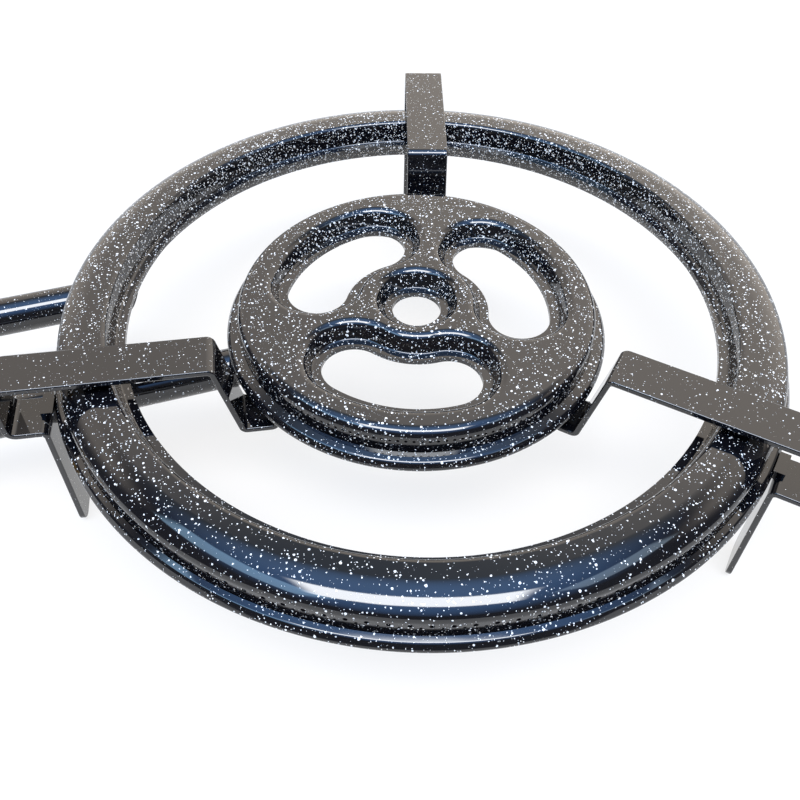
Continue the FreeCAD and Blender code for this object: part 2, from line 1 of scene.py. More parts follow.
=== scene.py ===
# %% [markdown]
# # A two-ring gas burner in speckled enamel
# The burner is two hollow steel pressings, a ring and a disc, tied by three bent strips.
# Its construction comes ready made as a frame of solids. This lesson dresses that frame: it models
# the pressed sheet again with smooth, even faces, and gives each surface its finish.

# %% Frame
import math

import bmesh
import bpy
from mathutils import Matrix, Vector


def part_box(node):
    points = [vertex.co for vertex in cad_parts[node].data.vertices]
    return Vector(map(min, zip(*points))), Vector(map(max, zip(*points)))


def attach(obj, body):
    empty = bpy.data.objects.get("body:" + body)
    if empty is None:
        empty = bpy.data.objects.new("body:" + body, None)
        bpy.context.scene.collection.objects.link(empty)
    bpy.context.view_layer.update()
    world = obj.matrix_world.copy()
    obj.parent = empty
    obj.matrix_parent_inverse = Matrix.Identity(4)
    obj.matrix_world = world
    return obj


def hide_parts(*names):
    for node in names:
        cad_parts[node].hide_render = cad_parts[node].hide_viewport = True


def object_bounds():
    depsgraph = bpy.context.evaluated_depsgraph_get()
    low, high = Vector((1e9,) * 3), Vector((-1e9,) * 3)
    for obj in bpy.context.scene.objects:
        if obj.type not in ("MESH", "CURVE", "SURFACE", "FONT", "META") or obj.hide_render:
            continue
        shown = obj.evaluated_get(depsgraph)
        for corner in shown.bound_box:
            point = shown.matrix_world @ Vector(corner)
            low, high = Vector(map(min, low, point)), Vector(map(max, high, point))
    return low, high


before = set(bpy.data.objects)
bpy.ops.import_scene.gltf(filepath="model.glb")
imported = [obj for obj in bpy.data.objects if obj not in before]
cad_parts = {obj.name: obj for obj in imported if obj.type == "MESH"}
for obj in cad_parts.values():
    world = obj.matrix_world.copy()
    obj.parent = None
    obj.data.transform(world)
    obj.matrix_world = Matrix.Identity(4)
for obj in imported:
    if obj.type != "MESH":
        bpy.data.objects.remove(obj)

MM = 0.001
cad_low, cad_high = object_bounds()
scene = bpy.context.scene
scene.view_settings.view_transform = "Standard"
print("frame", len(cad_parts), "nodes", [round(v / MM) for v in cad_high - cad_low], "mm")

# %% [markdown]
# ## Camera
# The picture was taken from close by, about half a metre away, so the near side of the ring is much
# larger than the far side. The eye and the point that it looks at were worked out from the ellipses
# of the ring's rim, lip and shoulder. A small roll levels the ring as the picture shows it.

# %% Camera
eye = Vector((-131.4, -347.2, 429.0)) * MM
aim = Vector((-30.1, -53.1, 80.0)) * MM
roll = math.radians(1.12)
focal_px = 900
picture_px = 800
camera_data = bpy.data.cameras.new("camera")
camera_data.sensor_width = 36.0
camera_data.lens = focal_px / picture_px * camera_data.sensor_width
camera_data.clip_start = 0.01
camera = bpy.data.objects.new("camera", camera_data)
scene.collection.objects.link(camera)
look = (aim - eye).to_track_quat("-Z", "Y").to_matrix().to_4x4()
camera.matrix_world = Matrix.Translation(eye) @ look @ Matrix.Rotation(roll, 4, "Z")
scene.camera = camera
print("camera distance", round((aim - eye).length / MM), "mm, lens", round(camera_data.lens, 1))

# %% [markdown]
# ## Floor
# The floor is one pale square under the burner. To the camera, and in reflections, it glows most of the
# way to white. The rest of its light comes from its own dull surface, and that part keeps the shadow.

# %% Floor
floor_half = 3.0
floor_clearance = 0.0002
bm = bmesh.new()
bmesh.ops.create_grid(bm, x_segments=1, y_segments=1, size=floor_half)
floor_mesh = bpy.data.meshes.new("floor")
bm.to_mesh(floor_mesh)
bm.free()
floor = bpy.data.objects.new("floor", floor_mesh)
scene.collection.objects.link(floor)
floor.location.z = cad_low.z - floor_clearance
print("floor", 2 * floor_half, "m wide")


# %% Floor finish
def socket(node, name):
    """Input of a node, by its label."""
    return node.inputs[name]


def new_material(name):
    """Fresh material with its nodes, its links and its main shader."""
    material = bpy.data.materials.new(name)
    material.use_nodes = True
    nodes = material.node_tree.nodes
    return material, nodes, material.node_tree.links, nodes["Principled BSDF"]


glow_share = 0.8
material, nodes, links, shader = new_material("pale_floor")
socket(shader, "Base Color").default_value = (0.90, 0.86, 0.81, 1)
socket(shader, "Roughness").default_value = 0.9
socket(shader, "Specular IOR Level").default_value = 0.0
glow = nodes.new("ShaderNodeEmission")
socket(glow, "Color").default_value = (1, 1, 1, 1)
path = nodes.new("ShaderNodeLightPath")
seen = path.outputs["Is Camera Ray"]
for kind in ("Is Glossy Ray", "Is Transmission Ray"):
    either = nodes.new("ShaderNodeMath")
    either.operation = "MAXIMUM"
    links.new(seen, either.inputs[0])
    links.new(path.outputs[kind], either.inputs[1])
    seen = either.outputs[0]
share = nodes.new("ShaderNodeMath")
share.operation = "MULTIPLY"
share.inputs[1].default_value = glow_share
links.new(seen, share.inputs[0])
blend = nodes.new("ShaderNodeMixShader")
links.new(share.outputs[0], blend.inputs[0])
links.new(shader.outputs[0], blend.inputs[1])
links.new(glow.outputs[0], blend.inputs[2])
links.new(blend.outputs[0], nodes["Material Output"].inputs[0])
floor_mesh.materials.append(material)
print("floor glow", glow_share)

# %% [markdown]
# ## Studio dome
# Black gloss shows almost nothing of its own colour: it shows the room. So the light is a soft studio
# dome with a warm wall behind the burner, for the flat tops, and a cool skylight with a bright core
# over the camera, for the shoulders that turn towards it. Lamps could do this too, but patches on the
# world's dome have soft edges in every reflection. Past the floor's edge the camera sees plain white.

# %% Directions on the dome
world = bpy.data.worlds.new("studio")
scene.world = world
world.use_nodes = True
sky = world.node_tree
coordinates = sky.nodes.new("ShaderNodeTexCoord")
ray = sky.nodes.new("ShaderNodeVectorMath")
ray.operation = "NORMALIZE"
sky.links.new(coordinates.outputs["Generated"], ray.inputs[0])
camera_side = Vector((eye.x - aim.x, eye.y - aim.y, 0)).normalized()


def sky_direction(turn, height):
    """Unit direction at a height, turned sideways from the camera's side (0) to the far side (180)."""
    flat = Matrix.Rotation(math.radians(turn), 4, "Z") @ camera_side
    rise = math.radians(height)
    return (flat * math.cos(rise) + Vector((0, 0, 1)) * math.sin(rise)).normalized()


def along(axis):
    """How far the ray points along an axis, as a cosine."""
    part = sky.nodes.new("ShaderNodeVectorMath")
    part.operation = "DOT_PRODUCT"
    part.inputs[1].default_value = axis
    sky.links.new(ray.outputs[0], part.inputs[0])
    return part.outputs["Value"]


print("camera side", [round(v, 2) for v in camera_side])


# %% Patches of light
facing_gone, facing_full = 0.0, 0.3
box_softness = 0.12


def soft_step(value, gone, full):
    """Soft edge between the value where the light is gone and the value where it is full."""
    edge = sky.nodes.new("ShaderNodeMapRange")
    edge.interpolation_type = "SMOOTHSTEP"
    socket(edge, "From Min").default_value = gone
    socket(edge, "From Max").default_value = full
    sky.links.new(value, socket(edge, "Value"))
    return edge.outputs["Result"]


def scaled_light(amount, colour, strength):
    """Light of one colour and strength, by an amount from 0 to 1."""
    light = sky.nodes.new("ShaderNodeVectorMath")
    light.operation = "SCALE"
    light.inputs[0].default_value = [c * strength for c in colour]
    sky.links.new(amount, socket(light, "Scale"))
    return light.outputs[0]


def glow_patch(place, inner, outer, colour, strength):
    """Soft round patch of light on the dome, full inside one angle and gone past another."""
    cosine = along(sky_direction(*place))
    amount = soft_step(cosine, math.cos(math.radians(outer)), math.cos(math.radians(inner)))
    return scaled_light(amount, colour, strength)


def soft_box(place, wide, high, colour, strength):
    """Soft-edged rectangle of light on the dome; its half angles are wide and high."""
    direction = sky_direction(*place)
    across = direction.cross(Vector((0, 0, 1))).normalized()
    upward = across.cross(direction)
    amount = soft_step(along(direction), facing_gone, facing_full)
    for axis, half in ((across, wide), (upward, high)):
        size = sky.nodes.new("ShaderNodeMath")
        size.operation = "ABSOLUTE"
        sky.links.new(along(axis), size.inputs[0])
        edge = math.sin(math.radians(half))
        side = soft_step(size.outputs[0], edge * (1 + box_softness), edge * (1 - box_softness))
        both = sky.nodes.new("ShaderNodeMath")
        both.operation = "MULTIPLY"
        sky.links.new(amount, both.inputs[0])
        sky.links.new(side, both.inputs[1])
        amount = both.outputs[0]
    return scaled_light(amount, colour, strength)


# %% Lights
warm, cool, white = (1.0, 0.90, 0.79), (0.17, 0.43, 1.0), (1.0, 1.0, 0.98)
window_blue, pale_blue = (0.42, 0.70, 1.0), (0.6, 0.8, 1.0)
dim_room = (0.13, 0.13, 0.14)
lights = [
    soft_box((176, 10), 60, 43, warm, 1.25),
    glow_patch((150, 20), 5, 50, warm, 0.6),
    glow_patch((180, 78), 8, 36, pale_blue, 0.45),
    glow_patch((0, 76), 2, 46, cool, 2.3),
    soft_box((0, 70), 19, 8, white, 14.0),
    soft_box((-62, 55), 18, 6, window_blue, 4.0),
    soft_box((70, 52), 12, 5, pale_blue, 2.4),
]
total = None
for light in lights:
    add = sky.nodes.new("ShaderNodeVectorMath")
    add.operation = "ADD"
    sky.links.new(light, add.inputs[0])
    if total is None:
        add.inputs[1].default_value = dim_room
    else:
        sky.links.new(total, add.inputs[1])
    total = add.outputs[0]
sky.links.new(total, sky.nodes["Background"].inputs["Color"])
print("dome lights", len(lights))

# %% White backdrop
backdrop = sky.nodes.new("ShaderNodeBackground")
socket(backdrop, "Color").default_value = (1, 1, 1, 1)
path = sky.nodes.new("ShaderNodeLightPath")
view = sky.nodes.new("ShaderNodeMixShader")
sky.links.new(path.outputs["Is Camera Ray"], view.inputs[0])
sky.links.new(sky.nodes["Background"].outputs[0], view.inputs[1])
sky.links.new(backdrop.outputs[0], view.inputs[2])
sky.links.new(view.outputs[0], sky.nodes["World Output"].inputs["Surface"])
print("dome nodes", len(sky.nodes))


# %% [markdown]
# ## Enamel
# Vitreous enamel is black glass fused on steel. White droplets are flicked on before firing, so the
# specks differ in size and lie thicker on some faces than on others. A Voronoi texture gives each
# cell a point and a random colour: the colour decides whether the cell has a speck, and how wide.
# Three layers of cells, from coarse to fine, give the mix of sizes.

# %% Node helpers
def mixed(nodes, links, operation, first, second, third=None):
    """Math node on sockets or plain numbers."""
    node = nodes.new("ShaderNodeMath")
    node.operation = operation
    for place, value in zip(node.inputs, (first, second, third)):
        if value is None:
            continue
        if isinstance(value, (int, float)):
            place.default_value = value
        else:
            links.new(value, place)
    return node.outputs[0]


def mapped(nodes, links, value, source=(0.0, 1.0), target=(0.0, 1.0)):
    """Value carried from one range to another, and held at its ends."""
    node = nodes.new("ShaderNodeMapRange")
    for name, number in zip(("From Min", "From Max", "To Min", "To Max"), (*source, *target)):
        socket(node, name).default_value = number
    links.new(value, socket(node, "Value"))
    return node.outputs["Result"]


def noise(nodes, links, place, scale):
    """Noise texture of a scale, read at a place."""
    node = nodes.new("ShaderNodeTexNoise")
    socket(node, "Scale").default_value = scale
    links.new(place, socket(node, "Vector"))
    return node


def relieved(nodes, links, height, strength, depth):
    """Normal of a surface with a shallow relief."""
    bump = nodes.new("ShaderNodeBump")
    socket(bump, "Strength").default_value = strength
    socket(bump, "Distance").default_value = depth
    links.new(height, socket(bump, "Height"))
    return bump.outputs[0]


# %% Droplets
# Each layer has the size of its cells and the radius of its widest droplet, in metres.
droplet_layers = ((0.0034, 0.00072), (0.0019, 0.0005), (0.0012, 0.00032))
droplet_edge = 0.00012
chance_range = (1.0, 1.5)


def specks(nodes, links, place, richness, cell, widest):
    """White droplets, one to a cell at most; a richer place has more of them, and wider ones."""
    scale = 1 / cell
    voronoi = nodes.new("ShaderNodeTexVoronoi")
    socket(voronoi, "Scale").default_value = scale
    links.new(place, socket(voronoi, "Vector"))
    chance = nodes.new("ShaderNodeSeparateColor")
    links.new(voronoi.outputs["Color"], chance.inputs[0])
    luck = mixed(nodes, links, "ADD", chance.outputs[0], richness)
    size = mapped(nodes, links, luck, chance_range, (0.0, widest * scale))
    inside = mixed(nodes, links, "SUBTRACT", size, voronoi.outputs["Distance"])
    return mapped(nodes, links, inside, (0.0, droplet_edge * scale))


print("droplet radii up to", [round(widest / MM, 2) for cell, widest in droplet_layers], "mm")


# %% Where the droplets lie
far_share = 0.85
cloud_scale, cloud_share = 22.0, 0.6
flat_to_steep = (0.85, 0.2)
outer_to_inner = (0.7, 0.3)


def droplet_richness(nodes, links, place, base, wall_share):
    """How thick the droplets lie; the far half has more of them, and so have inner walls."""
    far = nodes.new("ShaderNodeVectorMath")
    far.operation = "DOT_PRODUCT"
    far.inputs[1].default_value = -camera_side
    links.new(place, far.inputs[0])
    cloud = noise(nodes, links, place, cloud_scale)
    geometry = nodes.new("ShaderNodeNewGeometry")
    normal = nodes.new("ShaderNodeSeparateXYZ")
    links.new(geometry.outputs["Normal"], normal.inputs[0])
    level = mixed(nodes, links, "ABSOLUTE", normal.outputs["Z"], None)
    steep = mapped(nodes, links, level, flat_to_steep, (0.0, wall_share))
    # An outer wall faces away from the burner's middle, and gets no extra.
    outward_way = nodes.new("ShaderNodeVectorMath")
    outward_way.operation = "NORMALIZE"
    links.new(place, outward_way.inputs[0])
    facing_out = nodes.new("ShaderNodeVectorMath")
    facing_out.operation = "DOT_PRODUCT"
    links.new(outward_way.outputs[0], facing_out.inputs[0])
    links.new(geometry.outputs["Normal"], facing_out.inputs[1])
    inner = mapped(nodes, links, facing_out.outputs["Value"], outer_to_inner)
    wall_extra = mixed(nodes, links, "MULTIPLY", steep, inner)
    richness = mixed(nodes, links, "MULTIPLY_ADD", far.outputs["Value"], far_share, base)
    richness = mixed(nodes, links, "MULTIPLY_ADD", cloud.outputs["Fac"], cloud_share, richness)
    return mixed(nodes, links, "ADD", richness, wall_extra)


# %% Enamel
black_glass = (0.0035, 0.0036, 0.0050, 1)
droplet_white = (0.90, 0.88, 0.83, 1)
glass_gloss, droplet_gloss = 0.05, 0.18
glass_ior = 1.65
warp_scale, warp_reach = 700.0, 0.0007
ripple_scale, ripple_strength, ripple_depth = 60.0, 0.06, 0.0007
droplet_relief = 0.1


def speckled_enamel(name, base, wall_share, size):
    """Black gloss with white droplets: a base richness, the extra that steep walls get, a size."""
    material, nodes, links, shader = new_material(name)
    coordinates = nodes.new("ShaderNodeTexCoord")
    place = coordinates.outputs["Object"]
    warp = noise(nodes, links, place, warp_scale)
    shift = nodes.new("ShaderNodeVectorMath")
    shift.operation = "MULTIPLY_ADD"
    shift.inputs[1].default_value = (warp_reach, warp_reach, warp_reach)
    links.new(warp.outputs["Color"], shift.inputs[0])
    links.new(place, shift.inputs[2])
    richness = droplet_richness(nodes, links, place, base, wall_share)
    spots = None
    for cell, widest in droplet_layers:
        layer = specks(nodes, links, shift.outputs[0], richness, cell, widest * size)
        spots = layer if spots is None else mixed(nodes, links, "MAXIMUM", spots, layer)
    colour = nodes.new("ShaderNodeMix")
    colour.data_type = "RGBA"
    colour.inputs["A"].default_value = black_glass
    colour.inputs["B"].default_value = droplet_white
    links.new(spots, colour.inputs["Factor"])
    links.new(colour.outputs["Result"], socket(shader, "Base Color"))
    gloss = mapped(nodes, links, spots, target=(glass_gloss, droplet_gloss))
    links.new(gloss, socket(shader, "Roughness"))
    socket(shader, "IOR").default_value = glass_ior
    ripple = noise(nodes, links, place, ripple_scale)
    socket(ripple, "Detail").default_value = 1.0
    relief = mixed(nodes, links, "MULTIPLY_ADD", spots, droplet_relief, ripple.outputs["Fac"])
    links.new(relieved(nodes, links, relief, ripple_strength, ripple_depth), socket(shader, "Normal"))
    return material


enamel = speckled_enamel("speckled_enamel", 0.46, 0.42, 1.0)
strip_enamel = speckled_enamel("strip_enamel", 0.38, 0.0, 0.75)
print("enamel nodes", len(enamel.node_tree.nodes))


# %% [markdown]
# ## Metals, plastic and seals
# The gas train beside the ring is turned brass, zinc-plated steel and a moulded knob. Each of these has
# a fine grain of its own: lathe rings, a cloudy plating, a faint moulding texture. One noise could
# drive the colour alone, but when the gloss and the relief follow it too, the grain looks worn in.

# %% Finishes of the fittings
grain_detail = 4.0
grain_strength = 0.25


def grained(name, colour, worn, metal, gloss, scale, depth, stretch=(1, 1, 1)):
    """Material whose colour, gloss and relief follow one stretched noise."""
    material, nodes, links, shader = new_material(name)
    coordinates = nodes.new("ShaderNodeTexCoord")
    mapping = nodes.new("ShaderNodeMapping")
    socket(mapping, "Scale").default_value = stretch
    links.new(coordinates.outputs["Object"], socket(mapping, "Vector"))
    grain = noise(nodes, links, mapping.outputs[0], scale)
    socket(grain, "Detail").default_value = grain_detail
    tint = nodes.new("ShaderNodeMix")
    tint.data_type = "RGBA"
    tint.inputs["A"].default_value = (*colour, 1)
    tint.inputs["B"].default_value = (*worn, 1)
    links.new(grain.outputs["Fac"], tint.inputs["Factor"])
    links.new(tint.outputs["Result"], socket(shader, "Base Color"))
    links.new(mapped(nodes, links, grain.outputs["Fac"], target=gloss), socket(shader, "Roughness"))
    socket(shader, "Metallic").default_value = metal
    normal = relieved(nodes, links, grain.outputs["Fac"], grain_strength, depth)
    links.new(normal, socket(shader, "Normal"))
    return material


brass = grained("turned_brass", (0.62, 0.42, 0.16), (0.45, 0.29, 0.11), metal=1.0, gloss=(0.22, 0.42),
                scale=900, depth=5e-5, stretch=(4, 0.3, 0.3))
zinc = grained("zinc_plate", (0.62, 0.63, 0.65), (0.42, 0.43, 0.44), metal=1.0, gloss=(0.28, 0.5),
               scale=300, depth=4e-5)
knob_black = grained("knob_plastic", (0.012, 0.012, 0.013), (0.022, 0.021, 0.021), metal=0.0,
                     gloss=(0.3, 0.5), scale=1200, depth=5e-5)
fibre = grained("seal_fibre", (0.05, 0.05, 0.05), (0.09, 0.085, 0.08), metal=0.0, gloss=(0.7, 0.9),
                scale=1500, depth=8e-5)
print("finishes", [finish.name for finish in (brass, zinc, knob_black, fibre)])


# %% [markdown]
# ## Sheet that is bent and turned
# A pressing is a sheet of even thickness. The simplest way to model one is to draw the line of its
# outer face, round the corners with a vertex bevel, turn the line about the axis with a spin, and let
# a Solidify modifier give it its wall. The weighted normals keep the flat faces flat in reflections.

# %% Bent lines
fewest_steps = 3
step_degrees = 11
touching = 1e-6


def bent_line(bm, points, bends):
    """Draw a line through (reach, height) points in the XZ plane and round its corners."""
    corners = [bm.verts.new((x * MM, 0, z * MM)) for x, z in points]
    for a, b in zip(corners, corners[1:]):
        bm.edges.new((a, b))
    line = {*corners}
    for corner, bend, index in zip(corners[1:-1], bends, range(1, len(points) - 1)):
        before = (Vector(points[index]) - Vector(points[index - 1])).normalized()
        after = (Vector(points[index + 1]) - Vector(points[index])).normalized()
        reach = bend * math.tan(before.angle(after) / 2)
        steps = max(fewest_steps, round(bend ** 0.5 * math.degrees(before.angle(after)) / step_degrees))
        line.discard(corner)
        made = bmesh.ops.bevel(bm, geom=[corner], offset=reach * MM, offset_type="OFFSET", segments=steps,
                               profile=0.5, affect="VERTICES", material=-1)
        line.update(made["verts"])
    return [v for v in line if v.is_valid]


# %% Turning a line
def line_geometry(verts):
    """Verts of a line with the edges that join them and carry no face yet."""
    edges = {e for v in verts for e in v.link_edges if not e.link_faces}
    return list(verts) + list(edges)


def copy_round(bm, faces, centre, sweep, count):
    """Copy faces round a vertical axis so that the copies share out the sweep."""
    edges = {e for f in faces for e in f.edges}
    verts = {v for f in faces for v in f.verts}
    bmesh.ops.spin(bm, geom=[*verts, *edges, *faces], cent=centre, axis=(0, 0, 1),
                   angle=math.radians(sweep) * (count - 1) / count, steps=count - 1, use_duplicate=True)


def spin_line(bm, verts, centre, start, sweep, steps, sectors=1):
    """Turn a line about a vertical axis, from a start angle through a sweep, in degrees.

    A full turn is spun as one sector and then copied round, because a spin of many steps is slow."""
    place = Matrix.Translation(centre) @ Matrix.Rotation(math.radians(start), 4, "Z")
    bmesh.ops.transform(bm, matrix=place, verts=verts)
    before = set(bm.faces)
    bmesh.ops.spin(bm, geom=line_geometry(verts), cent=centre, axis=(0, 0, 1),
                   angle=math.radians(sweep) / sectors, steps=steps // sectors)
    if sectors > 1:
        copy_round(bm, [f for f in bm.faces if f not in before], centre, sweep, sectors)


def outward(bm, highest):
    """Point an open shell's faces the same way, with its highest face upwards (1) or downwards (-1)."""
    bmesh.ops.remove_doubles(bm, verts=bm.verts, dist=touching)
    bmesh.ops.recalc_face_normals(bm, faces=bm.faces)
    top = max(bm.faces, key=lambda f: (round(f.calc_center_median().z, 5), f.calc_area()))
    if top.normal.z * highest < 0:
        bmesh.ops.reverse_faces(bm, faces=bm.faces)


# %% Finished pieces
edge_steps = 2
sharp_angle = math.radians(40)


def piece(name, bm, material, nodes, wall=0.0, edge=0.0, body="burner"):
    """Turn a bmesh into a smooth piece that stands for CAD nodes, with its wall and edge rounding."""
    mesh = bpy.data.meshes.new(name)
    for face in bm.faces:
        face.smooth = True
    for rim in bm.edges:
        rim.smooth = not rim.is_boundary
    bm.to_mesh(mesh)
    bm.free()
    made = bpy.data.objects.new(name, mesh)
    scene.collection.objects.link(made)
    mesh.materials.append(material)
    if wall:
        solid = made.modifiers.new("wall", "SOLIDIFY")
        solid.thickness = wall * MM
        solid.offset = -1
        solid.use_even_offset = True
    if edge:
        rounding = made.modifiers.new("edge", "BEVEL")
        rounding.width = edge * MM
        rounding.segments = edge_steps
        rounding.limit_method = "ANGLE"
        rounding.angle_limit = sharp_angle
    weighted = made.modifiers.new("normals", "WEIGHTED_NORMAL")
    weighted.weight = 100
    weighted.keep_sharp = True
    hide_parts(*nodes)
    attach(made, body)
    print(name, len(mesh.polygons), "faces")
    return made


# %% [markdown]
# ## Flame ports
# The ports are rows of small holes round a wall. A boolean with hundreds of pins is slow and leaves
# ragged faces. So one cell of the wall is made with its hole, bent to the wall's radius, and then
# copied round by a spin that duplicates. The cells' edges meet the rest of the sheet exactly.

# %% Port cells
unit_half = 0.5
unit_border = 0.499


def port_cell(bm, start, width, low, high, hole_height, hole_r, columns, rows):
    """Flat cell of the wall with a round hole; X is the way round and Z is up."""
    grid = bmesh.ops.create_grid(bm, x_segments=columns, y_segments=rows, size=unit_half)
    border = [v for v in grid["verts"] if max(abs(v.co.x), abs(v.co.y)) > unit_border]
    bmesh.ops.delete(bm, geom=[v for v in grid["verts"] if v not in border], context="VERTS")
    bmesh.ops.delete(bm, geom=[f for v in border for f in v.link_faces], context="FACES_ONLY")
    place = Matrix.Translation((start + width / 2, 0, (low + high) / 2))
    lay = place @ Matrix.Diagonal((width, 1, high - low, 1)) @ Matrix.Rotation(math.pi / 2, 4, "X")
    bmesh.ops.transform(bm, matrix=lay, verts=border)
    count = 2 * (columns + rows)
    ring = bmesh.ops.create_circle(bm, cap_ends=False, radius=hole_r, segments=count)["verts"]
    lift = Matrix.Translation((start + width / 2, 0, hole_height))
    turn = Matrix.Rotation(math.pi / 2, 4, "X") @ Matrix.Rotation(math.pi / count, 4, "Z")
    bmesh.ops.transform(bm, matrix=lift @ turn, verts=ring)
    edges = {e for v in border + ring for e in v.link_edges}
    bmesh.ops.bridge_loops(bm, edges=list(edges))


# %% Port walls
def port_wall(bm, radius, low, high, ports, count, sector, columns, rows, centre):
    """Wall of a given radius with its ports: (height, hole radius) for each cell of one pitch.

    The pitch is copied to a sector, and the sector round the wall."""
    pitch = 2 * math.pi * radius / count
    width = pitch / len(ports)
    before = set(bm.verts)
    for index, (hole_height, hole_r) in enumerate(ports):
        port_cell(bm, index * width, width, low, high, hole_height, hole_r, columns, rows)
    cell = [v for v in bm.verts if v not in before]
    for v in cell:
        turn = v.co.x / radius
        v.co = Vector((radius * math.cos(turn), radius * math.sin(turn), v.co.z)) + centre
    cell_faces = {f for v in cell for f in v.link_faces}
    others = set(bm.faces) - cell_faces
    copy_round(bm, cell_faces, centre, 360 * sector / count, sector)
    copy_round(bm, set(bm.faces) - others, centre, 360, count // sector)


# %% [markdown]
# ## Outer ring
# The upper pressing has a flat crown, a rounded shoulder and an upright wall with the ports. Inside,
# the sheet is drawn down to a lip, which meets the lip of the lower pressing. The lower pressing is a
# pan whose rim is curled outwards and back in to the wall. Sizes here are in millimetres.

# %% Ring sizes
pan_low, pan_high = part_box("ring_pan")
top_low, top_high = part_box("ring_top")
sheet = 1.5
pan_height = pan_low.z / MM
ring_crown = top_high.z / MM
ring_foot = top_low.z / MM
ring_wall_r = (top_high.x - top_low.x) / 2 / MM
ring_rim_r = (pan_high.x - pan_low.x) / 2 / MM
ring_lip = pan_high.z / MM + sheet
ring_lip_r = 161.0
ring_wall_lean = 3.0
lip_width = 5.0
lip_bend = 1.5
draw_bend = 3.0
crown_fall = math.radians(40.3)
crown_r = 22.0
shoulder_r = 5.0
print("ring", round(2 * ring_rim_r, 1), "mm across, port wall", round(2 * ring_wall_r, 1), "mm")

# %% Ring top
ORIGIN = Vector((0, 0, 0))
ring_ports = 136
# Each row of ports has a height and a hole radius.
ring_port_rows = [(ring_foot + 13.2, 1.15), (ring_foot + 11.6, 0.75)]
ring_band = (ring_foot + 10.0, ring_foot + 15.0)
ring_columns, ring_rows = 2, 3
ring_group = 8
ring_sectors = ring_ports // ring_group
ring_steps = ring_ports * len(ring_port_rows) * ring_columns
slope = crown_r * math.tan(crown_fall / 2) + shoulder_r * math.tan((math.pi / 2 - crown_fall) / 2)

bm = bmesh.new()
lip_corner = ring_lip_r + lip_width
crown_line = [(ring_lip_r, ring_lip), (lip_corner, ring_lip), (lip_corner + ring_wall_lean, ring_crown),
              (ring_wall_r - slope * math.cos(crown_fall), ring_crown),
              (ring_wall_r, ring_crown - slope * math.sin(crown_fall)), (ring_wall_r, ring_band[1])]
crown_bends = [lip_bend, draw_bend, crown_r, shoulder_r]
spin_line(bm, bent_line(bm, crown_line, crown_bends), ORIGIN, 0, 360, ring_steps, ring_sectors)
skirt_line = [(ring_wall_r, ring_band[0]), (ring_wall_r, ring_foot)]
spin_line(bm, bent_line(bm, skirt_line, []), ORIGIN, 0, 360, ring_steps, ring_sectors)
port_wall(bm, ring_wall_r * MM, ring_band[0] * MM, ring_band[1] * MM,
          [(z * MM, r * MM) for z, r in ring_port_rows], ring_ports, ring_group, ring_columns, ring_rows,
          ORIGIN)
outward(bm, 1)
piece("ring_crown", bm, enamel, ["ring_top"], wall=sheet)

# %% Ring pan
curl_clearance, curl_end = 0.2, 7.0
curl_slope, curl_back = 1.9, 5.9
curl_foot = 3.0
pan_bends = [2.6, 2.2, 2.4, draw_bend, lip_bend]
pan_steps, pan_sectors = 360, 18


def pan_line(lip_r, wall_r, rim_r, lip, lean, low):
    """Under face of a lower pressing, from the curled rim inwards to the lip."""
    corner = lip_r + lip_width - sheet / 2
    return [(wall_r + curl_clearance, low + curl_end), (rim_r - curl_slope, low + curl_back),
            (rim_r, low + curl_foot), (rim_r, low), (corner + lean, low), (corner, lip), (lip_r, lip)]


bm = bmesh.new()
ring_pan_lip = pan_high.z / MM - sheet
under = pan_line(ring_lip_r, ring_wall_r, ring_rim_r, ring_pan_lip, ring_wall_lean, pan_height)
spin_line(bm, bent_line(bm, under, pan_bends), ORIGIN, 0, 360, pan_steps, pan_sectors)
outward(bm, -1)
piece("ring_under_pan", bm, enamel, ["ring_pan"], wall=sheet)

# %% [markdown]
# ## Inner disc
# The disc is pressed the same way, with a dished hole in the middle and three kidney openings whose
# walls are drawn down to a lip. A kidney's outline is four arcs, so its wall is four spins of one
# line, two about the disc's axis and two about the middle of the kidney's round ends. The flat web
# that is left between the walls is filled in one go.

# %% Disc sizes
disc_low, disc_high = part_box("disc_top")
disc_pan_low, disc_pan_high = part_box("disc_pan")
disc_centre = Vector(((disc_low.x + disc_high.x) / 2, (disc_low.y + disc_high.y) / 2, 0))
disc_wall_r = (disc_high.x - disc_low.x) / 2 / MM
disc_rim_r = (disc_pan_high.x - disc_pan_low.x) / 2 / MM
disc_crown = disc_high.z / MM
disc_foot = disc_low.z / MM
disc_lip_r = 13.5
disc_lip = disc_pan_high.z / MM + sheet
disc_shoulder_r = 5.5
disc_draw_bend = 5.0
funnel_lean = 5.0
funnel_steps, funnel_sectors = 96, 8
print("disc", round(2 * disc_rim_r, 1), "mm across, off the ring's axis by",
      [round(v / MM, 1) for v in disc_centre.xy], "mm")

# %% Kidney openings
kidney_turns = (2.5, 122.5, 242.5)
kidney_path_r = 57.0
kidney_half_width = 17.0
kidney_half_angle = 26.5
kidney_lip = 5.0
kidney_shoulder = 9.0
kidney_flange = 12.5
kidney_side_steps, kidney_end_steps = 24, 40


def spot(radius, turn):
    """Place on the disc at a radius and a turn, in degrees."""
    angle = math.radians(turn)
    return disc_centre + Vector((math.cos(angle), math.sin(angle), 0)) * radius * MM


def kidney_line(lip, web):
    """Line of a kidney's wall, as (distance from the lip's edge, height), from the lip to the web."""
    return [(0, lip), (kidney_lip, lip), (kidney_shoulder, web), (kidney_flange, web)]


